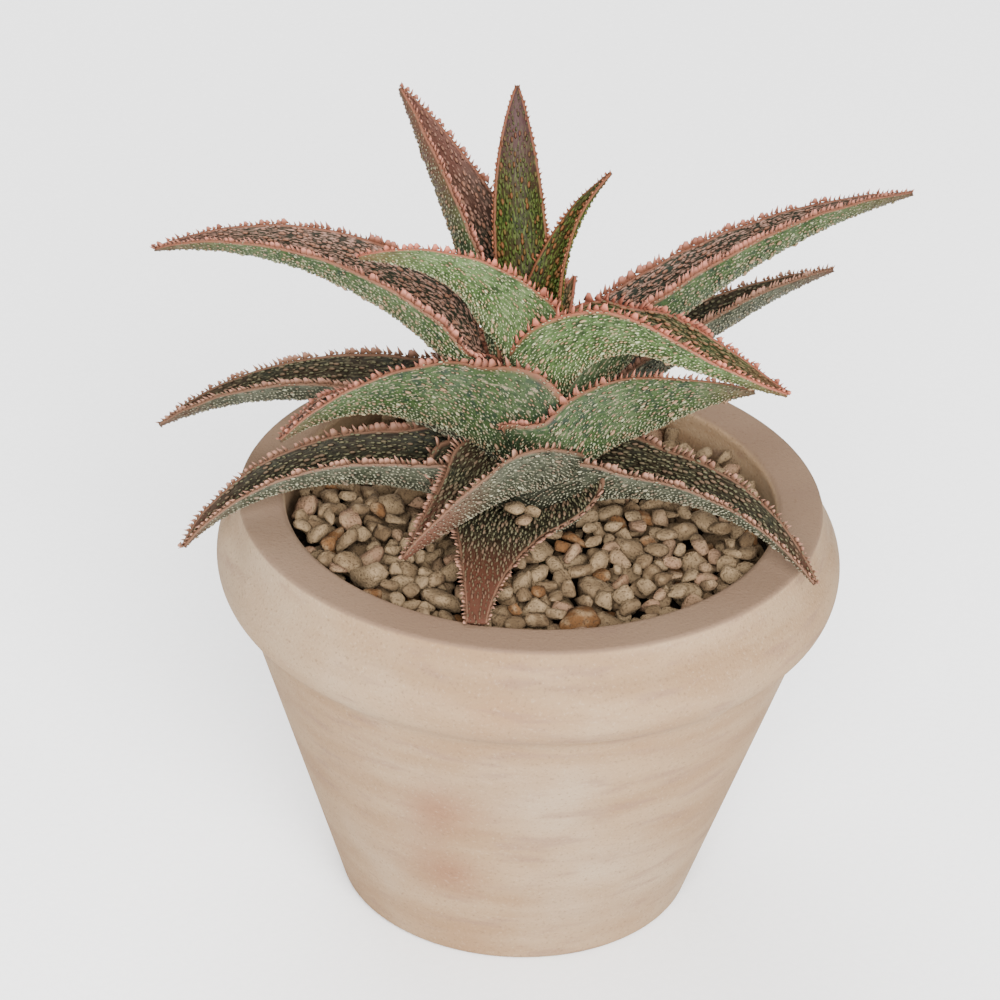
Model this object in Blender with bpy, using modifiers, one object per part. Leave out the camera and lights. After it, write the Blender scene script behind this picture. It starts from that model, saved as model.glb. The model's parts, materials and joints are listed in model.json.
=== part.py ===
"""Potted aloe: a rosette of toothed, channelled leaves on a short stem, with a bed of
pumice gravel over soil in a round terracotta pot. Sizes are millimetres times MM."""

import random
from math import cos, pi, radians, sin

import bmesh
import bpy
from mathutils import Matrix, Vector

MM = 0.001

# Driving sizes of the pot
COLLAR_RADIUS = 75.0 * MM
RIM_HEIGHT = 105.5 * MM
RIDGE_RADIUS = 70.0 * MM
LIP_RADIUS = 59.3 * MM
COLLAR_FOOT = 77.0 * MM
BULGE_DEPTH = 7.5 * MM
BULGE_HALF_HEIGHT = 10.0 * MM
BULGE_BELOW_RIM = 15.5 * MM
COVE_BELOW_RIM = 4.6 * MM
WALL_TOP_RADIUS = 67.5 * MM
BASE_RADIUS = 43.3 * MM
BASE_EDGE = 2.5 * MM
INSIDE_TOP_RADIUS = 58.3 * MM
INSIDE_SHOULDER = 82.0 * MM
INSIDE_FLOOR_RADIUS = 37.5 * MM
FLOOR_THICKNESS = 8.0 * MM
DRAIN_RADIUS = 7.0 * MM
ROUND_SIDES = 64

# Filling and stem
GAP = 0.3 * MM
SOIL_TOP = 90.0 * MM
GRAVEL_TOP = 97.5 * MM
STEM_RADIUS = 9.0 * MM
STEM_FOOT = 55.0 * MM
STEM_TAPER_FROM = 112.0 * MM
STEM_TOP = 152.0 * MM
STEM_TIP_RADIUS = 2.6 * MM
STEM_SIDES = 24

# Pebbles of the gravel
PEBBLE_COUNT = 150
PEBBLE_RADII = (3.2 * MM, 5.8 * MM)
PEBBLE_LIMIT = 56.5 * MM
PEBBLE_SPACING = 0.93
PEBBLE_SEED = 21

# Leaf blades
STATION_STEP = 4.0 * MM
ACROSS = (-1.0, -0.5, 0.0, 0.5, 1.0)
THICKNESS_SHARE = 0.13
EDGE_THICKNESS = 0.9 * MM
ROOT_WIDTH_SHARE = 0.58
FULL_WIDTH_AT = 0.22
TOOTH_LENGTH = 2.1 * MM
BUMP_HEIGHT = 0.45 * MM

# One entry a leaf, lowest on the stem first. Angles are degrees: azimuth from +X towards +Y,
# rise above level at the root, droop lost by the tip, fold of each half, sweep and roll on the way.
# Root height, length and width are millimetres; width is that of the blade laid flat.
LEAVES = (
    dict(name="leaf_front", azimuth=258, root=105, length=52, rise=22, droop=44,
         width=34, fold=25, sweep=2),
    dict(name="leaf_back_low", azimuth=76, root=106, length=57, rise=20, droop=40,
         width=26, fold=25),
    dict(name="leaf_low_left", azimuth=188, root=107.5, length=81, rise=20, droop=63,
         width=27, fold=60, sweep=20, roll=4, bend=1.7),
    dict(name="leaf_low_right", azimuth=340, root=109, length=72, rise=22, droop=54,
         width=27, fold=55, sweep=-26, roll=-6, bend=1.3),
    dict(name="leaf_back_left", azimuth=113, root=112, length=55, rise=24, droop=50,
         width=26, fold=30),
    dict(name="leaf_front_left", azimuth=247, root=113.5, length=47, rise=30, droop=76,
         width=35, fold=72, sweep=-21, roll=10),
    dict(name="leaf_far_left", azimuth=162, root=117, length=89, rise=28, droop=68,
         width=28, fold=52, sweep=6),
    dict(name="leaf_right_back", azimuth=42, root=116, length=91, rise=26, droop=28,
         width=24, fold=50),
    dict(name="leaf_right", azimuth=348, root=120, length=57.5, rise=40, droop=43,
         width=32, fold=64, sweep=-4, roll=-16, root_share=0.7),
    dict(name="leaf_left", azimuth=190, root=122, length=59.5, rise=44, droop=74,
         width=32, fold=66, sweep=24, roll=14),
    dict(name="leaf_back", azimuth=94, root=124.5, length=70.5, rise=40, droop=44,
         width=25, fold=40, root_share=0.48),
    dict(name="leaf_long_right", azimuth=28, root=128, length=103.5, rise=41, droop=40,
         width=30, fold=60, sweep=2),
    dict(name="leaf_long_left", azimuth=172, root=128, length=97.5, rise=58, droop=76,
         width=32, fold=60, sweep=-4, full_at=0.3),
    dict(name="leaf_upright_left", azimuth=135, root=135, length=73.5, rise=59, droop=8,
         width=26, fold=46, root_share=0.36),
    dict(name="leaf_inner_right", azimuth=343, root=137, length=63, rise=60, droop=97,
         width=32, fold=72, sweep=-6, roll=-14, root_share=0.8),
    dict(name="leaf_inner_left", azimuth=207, root=139, length=53, rise=76, droop=78,
         width=30, fold=64, sweep=-19, root_share=0.32, full_at=0.5),
    dict(name="leaf_upright", azimuth=115, root=145, length=61, rise=68, droop=2,
         width=21, fold=50, sweep=-20, root_share=0.36),
    dict(name="leaf_young", azimuth=43, root=148, length=40, rise=66, droop=6,
         width=12, fold=60),
    dict(name="leaf_youngest", azimuth=46, root=142, length=21, rise=58, droop=0,
         width=8, fold=50),
)

# Grains resting on the front leaf, about one station of it: millimetres along and across, and radius
RESTING_ON = "leaf_front"
RESTING_STATION = 3
RESTING_GRAINS = ((0.0, 0.6, 3.4), (1.0, 5.4, 3.0), (4.6, 3.0, 2.8))


def clear_scene():
    for thing in list(bpy.data.objects):
        bpy.data.objects.remove(thing, do_unlink=True)


def new_collection(name):
    collection = bpy.data.collections.new(name)
    bpy.context.scene.collection.children.link(collection)
    return collection


def surface(name, colour, roughness):
    """A plain Principled BSDF material."""
    made = bpy.data.materials.new(name)
    made.use_nodes = True
    shader = made.node_tree.nodes["Principled BSDF"]
    shader.inputs["Base Color"].default_value = (*colour, 1.0)
    shader.inputs["Roughness"].default_value = roughness
    shader.inputs["Metallic"].default_value = 0.0
    made.diffuse_color = (*colour, 1.0)
    return made


def add_object(name, mesh, collection, look):
    made = bpy.data.objects.new(name, mesh)
    collection.objects.link(made)
    mesh.materials.append(look)
    return made


def arc_points(centre, radius_x, radius_z, first, last, count):
    """Points of an elliptical arc in the XZ plane, angles in degrees."""
    points = []
    for step in range(count + 1):
        angle = radians(first + (last - first) * step / count)
        points.append((centre[0] + radius_x * cos(angle), centre[1] + radius_z * sin(angle)))
    return points


def turned(name, profile, closed, sides, collection, look):
    """A profile of (radius, height) points turned about Z with a Screw modifier."""
    mesh = bpy.data.meshes.new(name)
    count = len(profile)
    edges = [(index, index + 1) for index in range(count - 1)]
    if closed:
        edges.append((count - 1, 0))
    mesh.from_pydata([(radius, 0.0, height) for radius, height in profile], edges, [])
    made = add_object(name, mesh, collection, look)
    screw = made.modifiers.new("turn", "SCREW")
    screw.steps = sides
    screw.render_steps = sides
    screw.use_merge_vertices = True
    screw.merge_threshold = 0.00001
    screw.use_smooth_shade = True
    return made


def inside_radius(height):
    """Radius of the pot's inside: a cone up to the collar, then upright."""
    share = min(1.0, (height - FLOOR_THICKNESS) / (INSIDE_SHOULDER - FLOOR_THICKNESS))
    return INSIDE_FLOOR_RADIUS + (INSIDE_TOP_RADIUS - INSIDE_FLOOR_RADIUS) * share


def build_pot(collection, look):
    """Tapered terracotta pot with a rounded collar, a flat rim and a drain hole."""
    outside = [
        (RIDGE_RADIUS - 1.2 * MM, RIM_HEIGHT),
        (RIDGE_RADIUS, RIM_HEIGHT - 0.8 * MM),
        (RIDGE_RADIUS + 1.4 * MM, RIM_HEIGHT - COVE_BELOW_RIM),
    ]
    bulge = (COLLAR_RADIUS - BULGE_DEPTH, RIM_HEIGHT - BULGE_BELOW_RIM)
    outside += arc_points(bulge, BULGE_DEPTH, BULGE_HALF_HEIGHT, 52.0, -74.0, 7)
    outside.append((WALL_TOP_RADIUS, COLLAR_FOOT))
    edge = (BASE_RADIUS - BASE_EDGE, BASE_EDGE)
    outside += arc_points(edge, BASE_EDGE, BASE_EDGE, -15.0, -90.0, 3)
    inside = [
        (DRAIN_RADIUS, 0.0),
        (DRAIN_RADIUS, FLOOR_THICKNESS),
        (INSIDE_FLOOR_RADIUS, FLOOR_THICKNESS),
        (INSIDE_TOP_RADIUS, INSIDE_SHOULDER),
        (LIP_RADIUS - 0.6 * MM, RIM_HEIGHT - 2.4 * MM),
        (LIP_RADIUS + 0.6 * MM, RIM_HEIGHT - 1.0 * MM),
    ]
    return turned("pot", outside + inside, True, ROUND_SIDES, collection, look)


def build_soil(collection, look):
    """Soil up to the gravel, with a plain blind hole for the stem."""
    hole = STEM_RADIUS + GAP
    bottom = FLOOR_THICKNESS + GAP
    profile = [
        (0.0, STEM_FOOT - GAP),
        (hole, STEM_FOOT - GAP),
        (hole, SOIL_TOP),
        (inside_radius(SOIL_TOP) - GAP, SOIL_TOP),
        (INSIDE_TOP_RADIUS - GAP, INSIDE_SHOULDER),
        (inside_radius(bottom) - 1.2 * GAP, bottom),
        (0.0, bottom),
    ]
    return turned("soil", profile, False, ROUND_SIDES, collection, look)


def stem_radius(height):
    """Radius of the stem, which tapers to its growing tip."""
    share = min(1.0, max(0.0, (height - STEM_TAPER_FROM) / (STEM_TOP - STEM_TAPER_FROM)))
    return STEM_RADIUS + (STEM_TIP_RADIUS - STEM_RADIUS) * share


def build_stem(collection, look):
    """Short stem, rounded at the growing tip."""
    tip_height = 2.0 * MM
    shoulder = STEM_TOP - tip_height
    profile = arc_points((0.0, shoulder), stem_radius(shoulder), tip_height, 90.0, 0.0, 3)
    profile += [(STEM_RADIUS, STEM_TAPER_FROM), (STEM_RADIUS, STEM_FOOT + 2.0 * MM)]
    profile += [(STEM_RADIUS - 1.5 * MM, STEM_FOOT), (0.0, STEM_FOOT)]
    return turned("stem", profile, False, STEM_SIDES, collection, look)


def pebble_mesh(name, radius, place, draw):
    """A rounded lump with few sides, turned and squashed at random."""
    shape = bmesh.new()
    bmesh.ops.create_icosphere(shape, subdivisions=1, radius=radius)
    stretch = Vector((draw.uniform(0.9, 1.25), draw.uniform(0.75, 1.0), draw.uniform(0.6, 0.8)))
    for corner in shape.verts:
        corner.co *= draw.uniform(0.88, 1.1)
        corner.co = Vector((corner.co.x * stretch.x, corner.co.y * stretch.y, corner.co.z * stretch.z))
    tilt = Matrix.Rotation(draw.uniform(-0.4, 0.4), 3, "X")
    lean = Matrix.Rotation(draw.uniform(-0.4, 0.4), 3, "Y")
    spin = Matrix.Rotation(draw.uniform(0.0, 2.0 * pi), 3, "Z")
    for corner in shape.verts:
        corner.co = spin @ (tilt @ (lean @ corner.co)) + Vector(place)
    mesh = bpy.data.meshes.new(name)
    shape.to_mesh(mesh)
    shape.free()
    return mesh


def pebble_places(draw):
    """Places and radii that spread over the bed and bite into each other only a little."""
    placed = []
    tries = 0
    while len(placed) < PEBBLE_COUNT and tries < 20000:
        tries += 1
        radius = draw.uniform(*PEBBLE_RADII)
        distance = (PEBBLE_LIMIT - radius) * draw.random() ** 0.5
        angle = draw.uniform(0.0, 2.0 * pi)
        if distance < STEM_RADIUS + radius + 1.0 * MM:
            continue
        spot = Vector((distance * cos(angle), distance * sin(angle)))
        if all((spot - other).length > PEBBLE_SPACING * (radius + size) for other, size in placed):
            placed.append((spot, radius))
    return placed


def fuse(base, collection):
    """Unions the collection's objects into the base, applies it and removes them."""
    union = base.modifiers.new("fuse", "BOOLEAN")
    union.operation = "UNION"
    union.operand_type = "COLLECTION"
    union.collection = collection
    union.solver = "EXACT"
    graph = bpy.context.evaluated_depsgraph_get()
    joined = bpy.data.meshes.new_from_object(base.evaluated_get(graph))
    base.modifiers.clear()
    base.data = joined
    for thing in list(collection.objects):
        bpy.data.objects.remove(thing, do_unlink=True)
    bpy.data.collections.remove(collection)


def build_gravel(collection, look):
    """A ring of gravel: a bed with pebbles sunk half way into it."""
    outer_top = inside_radius(GRAVEL_TOP) - GAP
    profile = [
        (STEM_RADIUS + GAP, GRAVEL_TOP),
        (outer_top, GRAVEL_TOP),
        (outer_top, SOIL_TOP + GAP),
        (STEM_RADIUS + GAP, SOIL_TOP + GAP),
    ]
    bed = turned("gravel", profile, True, ROUND_SIDES, collection, look)
    pebbles = new_collection("pebbles")
    draw = random.Random(PEBBLE_SEED)
    for index, (spot, radius) in enumerate(pebble_places(draw)):
        place = (spot.x, spot.y, GRAVEL_TOP + draw.uniform(0.0, 0.4) * radius)
        pebble = bpy.data.objects.new(f"pebble_{index}", pebble_mesh("pebble", radius, place, draw))
        pebbles.objects.link(pebble)
    fuse(bed, pebbles)
    return bed


def ease(share):
    share = min(1.0, max(0.0, share))
    return share * share * (3.0 - 2.0 * share)


def blade_thickness(leaf, share, across):
    """Thick and fleshy along the middle of the root, thin at the margins and the tip."""
    fullest = THICKNESS_SHARE * leaf["width"] * MM
    middle = fullest * (1.0 - 0.7 * share) * (0.8 + 0.2 * ease(share / 0.2))
    edge = EDGE_THICKNESS - 0.2 * MM * share
    return edge + max(0.0, middle - edge) * (1.0 - across * across)


def half_width(leaf, share):
    root = leaf.get("root_share", ROOT_WIDTH_SHARE)
    grown = root + (1.0 - root) * ease(share / leaf.get("full_at", FULL_WIDTH_AT))
    return 0.5 * leaf["width"] * MM * grown * (1.0 - share ** 1.5) ** 0.95 + 0.25 * MM


def leaf_stations(leaf):
    """Keel point, along, sideways and upward axes at even steps from root to tip."""
    length = leaf["length"] * MM
    rings = max(6, round(length / STATION_STEP))
    fine = 8
    start = radians(leaf["azimuth"])
    lean = 0.5 * blade_thickness(leaf, 0.0, 0.0) * sin(radians(leaf["rise"]))
    root_radius = stem_radius(leaf["root"] * MM) + 1.5 * GAP + lean
    point = Vector((root_radius * cos(start), root_radius * sin(start), leaf["root"] * MM))
    stations = []
    for index in range(rings * fine + 1):
        share = index / (rings * fine)
        heading = radians(leaf["azimuth"] + leaf.get("sweep", 0.0) * share ** 1.3)
        pitch = radians(leaf["rise"] - leaf["droop"] * share ** leaf.get("bend", 1.0))
        along = Vector((cos(pitch) * cos(heading), cos(pitch) * sin(heading), sin(pitch)))
        side = Vector((-sin(heading), cos(heading), 0.0))
        up = along.cross(side)
        roll = radians(leaf.get("roll", 0.0)) * ease(1.6 * share)
        side, up = side * cos(roll) + up * sin(roll), up * cos(roll) - side * sin(roll)
        if index % fine == 0:
            stations.append((share, point.copy(), along, side, up))
        point += along * (length / (rings * fine))
    return stations


def blade_point(leaf, station, across, face, bump=0.0):
    """A point of the upper face (1) or lower face (-1), on the arc that folds the blade."""
    share, point, _, side, up = station
    fold = radians(leaf["fold"])
    bow = half_width(leaf, share) / fold
    turn = fold * across
    offset = face * (0.5 * blade_thickness(leaf, share, across) + bump)
    sideways = bow * sin(turn) - sin(turn) * offset
    upward = bow * (1.0 - cos(turn)) + cos(turn) * offset
    return point + side * sideways + up * upward


def tooth_point(leaf, station, following, across):
    """Tip of the tooth on the margin between two stations, leaning towards the leaf's tip."""
    near = blade_point(leaf, station, across, 1) + blade_point(leaf, station, across, -1)
    far = blade_point(leaf, following, across, 1) + blade_point(leaf, following, across, -1)
    share, _, along, side, up = station
    turn = radians(leaf["fold"]) * across
    outward = (side * cos(turn) + up * sin(turn)) * across
    slim = min(1.0, leaf["width"] / 24.0)
    reach = TOOTH_LENGTH * slim * (1.0 - 0.45 * share) * (0.35 + 0.65 * ease(share / 0.15))
    return (near + far) / 4.0 + (outward + 0.45 * along) * reach


def build_leaf(leaf, collection, look):
    """A closed blade lofted along its stations, with teeth and rows of low bumps."""
    shape = bmesh.new()
    stations = leaf_stations(leaf)
    last = len(ACROSS) - 1
    rings = []
    for index, station in enumerate(stations[:-1]):
        height = BUMP_HEIGHT * (1.0 - 0.5 * station[0])
        upper = []
        lower = []
        for column, across in enumerate(ACROSS):
            raised = 0 < column < last and (index + column) % 2 == 0
            bump = height if raised else 0.0
            upper.append(shape.verts.new(blade_point(leaf, station, across, 1, bump)))
            lower.append(shape.verts.new(blade_point(leaf, station, across, -1, bump)))
        rings.append((upper, lower))
    for index, ((upper, lower), (next_upper, next_lower)) in enumerate(zip(rings, rings[1:])):
        for column in range(last):
            a, b = upper[column], upper[column + 1]
            c, d = next_upper[column + 1], next_upper[column]
            shape.faces.new((a, c, b))
            shape.faces.new((a, d, c))
            a, b = lower[column], lower[column + 1]
            c, d = next_lower[column + 1], next_lower[column]
            shape.faces.new((a, b, c))
            shape.faces.new((a, c, d))
        for column, across in ((0, -1.0), (last, 1.0)):
            tip = shape.verts.new(tooth_point(leaf, stations[index], stations[index + 1], across))
            loop = [upper[column], next_upper[column], next_lower[column], lower[column]]
            if column == 0:
                loop.reverse()
            for here, there in zip(loop, loop[1:] + loop[:1]):
                shape.faces.new((here, there, tip))
    root = rings[0][0] + rings[0][1][::-1]
    shape.faces.new(root)
    end = shape.verts.new(stations[-1][1] + stations[-1][2] * 1.0 * MM)
    upper, lower = rings[-1]
    loop = upper + lower[::-1]
    for here, there in zip(loop, loop[1:] + loop[:1]):
        shape.faces.new((there, here, end))
    bmesh.ops.recalc_face_normals(shape, faces=shape.faces)
    mesh = bpy.data.meshes.new(leaf["name"])
    shape.to_mesh(mesh)
    shape.free()
    return add_object(leaf["name"], mesh, collection, look)


def build_resting_grains(collection, look):
    """Three fused grains lying on the front leaf."""
    leaf = next(entry for entry in LEAVES if entry["name"] == RESTING_ON)
    station = leaf_stations(leaf)[RESTING_STATION]
    _, _, along, side, up = station
    seat = blade_point(leaf, station, 0.0, 1, BUMP_HEIGHT + GAP)
    draw = random.Random(PEBBLE_SEED + 1)
    grains = new_collection("grains")
    first = None
    for index, (forward, sideways, radius) in enumerate(RESTING_GRAINS):
        place = seat + (along * forward + side * sideways + up * 0.75 * radius) * MM
        mesh = pebble_mesh("grain", radius * MM, place, draw)
        if first is None:
            first = add_object("grains_on_leaf", mesh, collection, look)
        else:
            grains.objects.link(bpy.data.objects.new(f"grain_{index}", mesh))
    fuse(first, grains)
    return first


def main():
    clear_scene()
    parts = new_collection("potted_aloe")
    terracotta = surface("terracotta", (0.42, 0.30, 0.22), 0.9)
    earth = surface("soil", (0.05, 0.035, 0.025), 1.0)
    pumice = surface("pumice", (0.50, 0.40, 0.29), 0.95)
    bark = surface("stem", (0.20, 0.24, 0.10), 0.8)
    build_pot(parts, terracotta)
    build_soil(parts, earth)
    build_gravel(parts, pumice)
    build_stem(parts, bark)
    for leaf in LEAVES:
        youth = ease((leaf["root"] - 125.0) / 20.0)
        green = (0.13 + 0.07 * youth, 0.20 + 0.05 * youth, 0.09 - 0.03 * youth)
        build_leaf(leaf, parts, surface(leaf["name"], green, 0.55))
    build_resting_grains(parts, pumice)


main()
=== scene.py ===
# %% [markdown]
# # Potted aloe
# A small aloe stands in a round terracotta pot: a rosette of channelled leaves with toothed
# margins, on a short stem that is hidden by the leaves' bases, over a bed of pumice gravel.
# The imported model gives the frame. Each leaf there is a coarse solid, so this script grows a
# finer one in its place, along nearly the same curve, and makes the gravel and the pot anew.

# %% Load the frame
import json
import random
from math import cos, pi, radians, sin

import bmesh
import bpy
from mathutils import Matrix, Vector, noise

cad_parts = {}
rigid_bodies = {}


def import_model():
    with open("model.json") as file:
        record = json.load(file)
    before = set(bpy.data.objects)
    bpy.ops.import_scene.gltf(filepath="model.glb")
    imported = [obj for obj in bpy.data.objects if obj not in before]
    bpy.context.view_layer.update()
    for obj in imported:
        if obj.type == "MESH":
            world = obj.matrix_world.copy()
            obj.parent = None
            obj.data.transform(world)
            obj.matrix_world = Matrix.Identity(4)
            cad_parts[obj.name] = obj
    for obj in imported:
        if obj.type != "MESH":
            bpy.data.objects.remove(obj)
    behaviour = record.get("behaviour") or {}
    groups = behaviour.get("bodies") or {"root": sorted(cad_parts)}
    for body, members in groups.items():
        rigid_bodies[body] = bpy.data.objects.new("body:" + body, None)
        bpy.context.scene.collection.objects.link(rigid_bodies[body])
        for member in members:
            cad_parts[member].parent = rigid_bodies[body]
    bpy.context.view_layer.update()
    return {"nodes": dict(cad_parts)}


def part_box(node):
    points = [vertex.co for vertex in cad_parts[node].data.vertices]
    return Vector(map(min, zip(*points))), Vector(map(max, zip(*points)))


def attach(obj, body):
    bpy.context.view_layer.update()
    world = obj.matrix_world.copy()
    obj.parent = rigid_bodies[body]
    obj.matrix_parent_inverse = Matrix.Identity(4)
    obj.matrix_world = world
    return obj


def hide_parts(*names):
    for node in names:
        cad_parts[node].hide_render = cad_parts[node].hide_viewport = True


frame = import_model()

MM = 0.001

# %% [markdown]
# The photograph was taken with a long lens from a little above, about 1.2 m away. The camera
# stands where circles drawn round the pot's rim, collar and base fall on those in the picture.
# Its frame is taken as 1000 by 1000, and it is turned a little about its own axis.

# %% Camera
FRAME_WIDTH = 1000.0
FOCAL_PIXELS = 4900.0
DISTANCE = 1172.0 * MM
ELEVATION = radians(30.5)
CAMERA_ROLL = radians(2.4)
AIM = Vector((0.0, 0.0, 105.5 * MM))
AIM_PIXEL = (531.0, 496.0)

forward = Vector((0.0, cos(ELEVATION), -sin(ELEVATION)))
level_up = Vector((0.0, sin(ELEVATION), cos(ELEVATION)))
rightward = Vector((1.0, 0.0, 0.0)) * cos(CAMERA_ROLL) + level_up * sin(CAMERA_ROLL)
upward = level_up * cos(CAMERA_ROLL) - Vector((1.0, 0.0, 0.0)) * sin(CAMERA_ROLL)
across_shift = (AIM_PIXEL[0] - FRAME_WIDTH / 2) / FOCAL_PIXELS * DISTANCE
upward_shift = (FRAME_WIDTH / 2 - AIM_PIXEL[1]) / FOCAL_PIXELS * DISTANCE
eye = AIM - forward * DISTANCE - rightward * across_shift - upward * upward_shift

camera_data = bpy.data.cameras.new("camera")
camera_data.sensor_width = 36.0
camera_data.lens = camera_data.sensor_width * FOCAL_PIXELS / FRAME_WIDTH
camera = bpy.data.objects.new("camera", camera_data)
bpy.context.scene.collection.objects.link(camera)
turn = Matrix((rightward, upward, -forward)).transposed().to_4x4()
camera.matrix_world = Matrix.Translation(eye) @ turn
bpy.context.scene.camera = camera
print("camera at", [round(value, 3) for value in eye], "lens", round(camera_data.lens, 1), "mm")

# %% [markdown]
# Colours are written as sRGB hex values, as a colour picker shows them, and one function
# turns them to the linear values that a shader works in. One more function adds a node with
# its settings, values and links, for shaders and for Geometry Nodes alike. Whatever is given for
# an input, a value, a colour, a socket or a whole node, it does what is meant.

# %% Two helpers
def linear(code):
    """Linear RGBA of an sRGB hex colour."""
    channels = [int(code[start:start + 2], 16) / 255.0 for start in (1, 3, 5)]
    steps = [c / 12.92 if c <= 0.04045 else ((c + 0.055) / 1.055) ** 2.4 for c in channels]
    return (*steps, 1.0)


def add(tree, kind, inputs=None, **settings):
    """Adds a node. An input takes a value, a hex colour, a socket, or a node's first output."""
    made = tree.nodes.new(kind)
    for name, value in settings.items():
        setattr(made, name, value)
    for key, value in (inputs or {}).items():
        if isinstance(value, bpy.types.Node):
            value = next(socket for socket in value.outputs if socket.enabled)
        if isinstance(value, bpy.types.NodeSocket):
            tree.links.new(value, made.inputs[key])
        elif isinstance(value, str) and value.startswith("#"):
            made.inputs[key].default_value = linear(value)
        else:
            made.inputs[key].default_value = value
    return made


MULTIPLY = dict(operation="MULTIPLY")
FLOAT = dict(data_type="FLOAT")

# %% [markdown]
# The plant's body is a rule: every leaf leaves the short stem at its own height and bearing,
# rises, and then arches over. The values began as those of the coarse solids, and were then
# fitted to the picture leaf by leaf. Lengths are millimetres and angles degrees. Root is the
# height on the stem, rise the first slope, and droop how far the leaf arches over. Fold is half
# the channel's angle. Sweep bends the leaf sideways, roll and twist tilt it about its length, and
# turn, bend and settle say how early that comes. Full, taper and tip give the blade's outline.
# Flushed is how red the inner face is, reddened the share of the length where the tip's
# red-brown starts, and grained how much wax lies on the skin. Most leaves share the usual values,
# so only what differs is written.

# %% Leaves of the rosette
STEM_RADIUS = 9.0 * MM
STEM_TAPER_FROM = 112.0 * MM
STEM_TOP = 152.0 * MM
STEM_TIP_RADIUS = 2.6 * MM

USUAL = dict(sweep=0.0, turn=1.3, bend=1.0, settle=1.0, full=1.5, taper=0.95, tip=0.3,
             roll=0.0, rolled=0.25, twist=0.0, clasp=108.0, sheath=0.32, drop=7.0,
             lift=0.0, lifted=0.17, flushed=0.4, reddened=0.72, grained=0.75)
ROSETTE = (
    dict(name="leaf_front", azimuth=254, root=105, length=52, rise=22, droop=42, width=34, fold=25,
         sweep=14, full=1.0, taper=1.5, tip=2.3, flushed=0.3, reddened=0.35),
    dict(name="leaf_back_low", azimuth=76, root=106, length=57, rise=20, droop=40, width=26,
         fold=25),
    dict(name="leaf_low_left", azimuth=188, root=105.5, length=79.5, rise=20, droop=64, width=30,
         fold=78, sweep=20, roll=4, bend=1.7, flushed=0.3, grained=0.4),
    dict(name="leaf_low_right", azimuth=340, root=109, length=70, rise=22, droop=54, width=30,
         fold=72, sweep=-26, roll=-6, bend=1.3, full=1.2),
    dict(name="leaf_back_left", azimuth=113, root=112, length=55, rise=24, droop=50, width=26,
         fold=30),
    dict(name="leaf_front_left", azimuth=262, root=116, length=49, rise=26, droop=56, width=38,
         fold=68, sweep=-50, turn=0.7, roll=34, sheath=0.4, rolled=0.5,
         clasp=55, clasp_radius=17, drop=0.5, lift=4, lifted=0.15, flushed=0.75, reddened=0.45),
    dict(name="leaf_far_left", azimuth=162, root=117, length=89.8, rise=27.5, droop=62.5, width=30,
         fold=78, sweep=6, bend=0.8, flushed=0.6),
    dict(name="leaf_right_back", azimuth=42, root=116, length=91, rise=26.5, droop=28, width=29,
         fold=80, roll=-18, flushed=0.55),
    dict(name="leaf_right", azimuth=331, root=117, length=53.5, rise=51, droop=34, width=38,
         fold=70, sweep=17, turn=0.5, roll=-58, twist=20, sheath=0.45, rolled=0.55,
         clasp=56, clasp_radius=21, drop=1, lift=-16.5, lifted=0.24, age="grown"),
    dict(name="leaf_left", azimuth=190, root=119.5, length=58, rise=43.5, droop=67, width=36,
         fold=70, sweep=24, roll=62, twist=-42, bend=1.05, sheath=0.5, rolled=0.4,
         clasp=90, clasp_radius=14, drop=1, lift=20, lifted=0.3),
    dict(name="leaf_back", azimuth=94, root=124.5, length=70.5, rise=40, droop=44, width=25,
         fold=40),
    dict(name="leaf_long_right", azimuth=28, root=128, length=103, rise=42.5, droop=41, width=34,
         fold=82, sweep=2, roll=-17),
    dict(name="leaf_long_left", azimuth=172, root=128, length=97.2, rise=59, droop=77, width=34,
         fold=80, sweep=-4, sheath=0.3, clasp=20, clasp_radius=7, drop=0.5, lift=13.5,
         lifted=0.25, flushed=0.45),
    dict(name="leaf_upright_left", azimuth=135, root=135, length=73.5, rise=59, droop=8, width=33,
         fold=72, full=2.2, roll=25, clasp=60, flushed=0.8, reddened=0.4, grained=0.3),
    dict(name="leaf_inner_right", azimuth=329, root=138, length=63, rise=73, droop=81, width=38,
         fold=72, sweep=14, turn=0.5, roll=-38, twist=40, settle=0.5, full=1.3,
         rolled=0.38, clasp=118, clasp_radius=7.5, drop=1.5, lift=-7, lifted=0.14),
    dict(name="leaf_inner_left", azimuth=208, root=142, length=55, rise=80, droop=79, width=29,
         fold=64, sweep=-20, roll=36, turn=1.1, clasp_radius=7),
    dict(name="leaf_upright", azimuth=122, root=145, length=60.4, rise=68, droop=2, width=14.5,
         fold=50, sweep=-30, turn=0.5, full=3.2, reddened=0.5),
    dict(name="leaf_young", azimuth=70, root=148, length=42.5, rise=82, droop=30, width=13, fold=60,
         sweep=-64, turn=0.8),
    dict(name="leaf_youngest", azimuth=58, root=142, length=19.5, rise=58, droop=0, width=8,
         fold=50),
)
LEAVES = [{**USUAL, **leaf} for leaf in ROSETTE]
print("leaves:", len(LEAVES))


# %% [markdown]
# A leaf's curve is walked from root to tip in small steps. At each station there is a point of
# the keel, the way along, the bearing and the pitch. On the real plant each leaf's base is a
# wide sheath that runs down the stem a little and clasps it, so the stem itself can't be seen.
# The stations therefore start below the root, going straight up the stem.

# %% Curve of a leaf
STEP = 1.2 * MM
FINE_STEPS = 4
SHEATH_STEPS = 4
ROOT_GAP = 0.45 * MM
THICKNESS_SHARE = 0.13
TIP_THINNING = 0.7
EDGE_THICKNESS = 0.9 * MM
EDGE_THINNING = 0.2 * MM


def ease(share):
    share = min(1.0, max(0.0, share))
    return share * share * (3.0 - 2.0 * share)


def mix(start, end, share):
    return start + (end - start) * share


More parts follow.
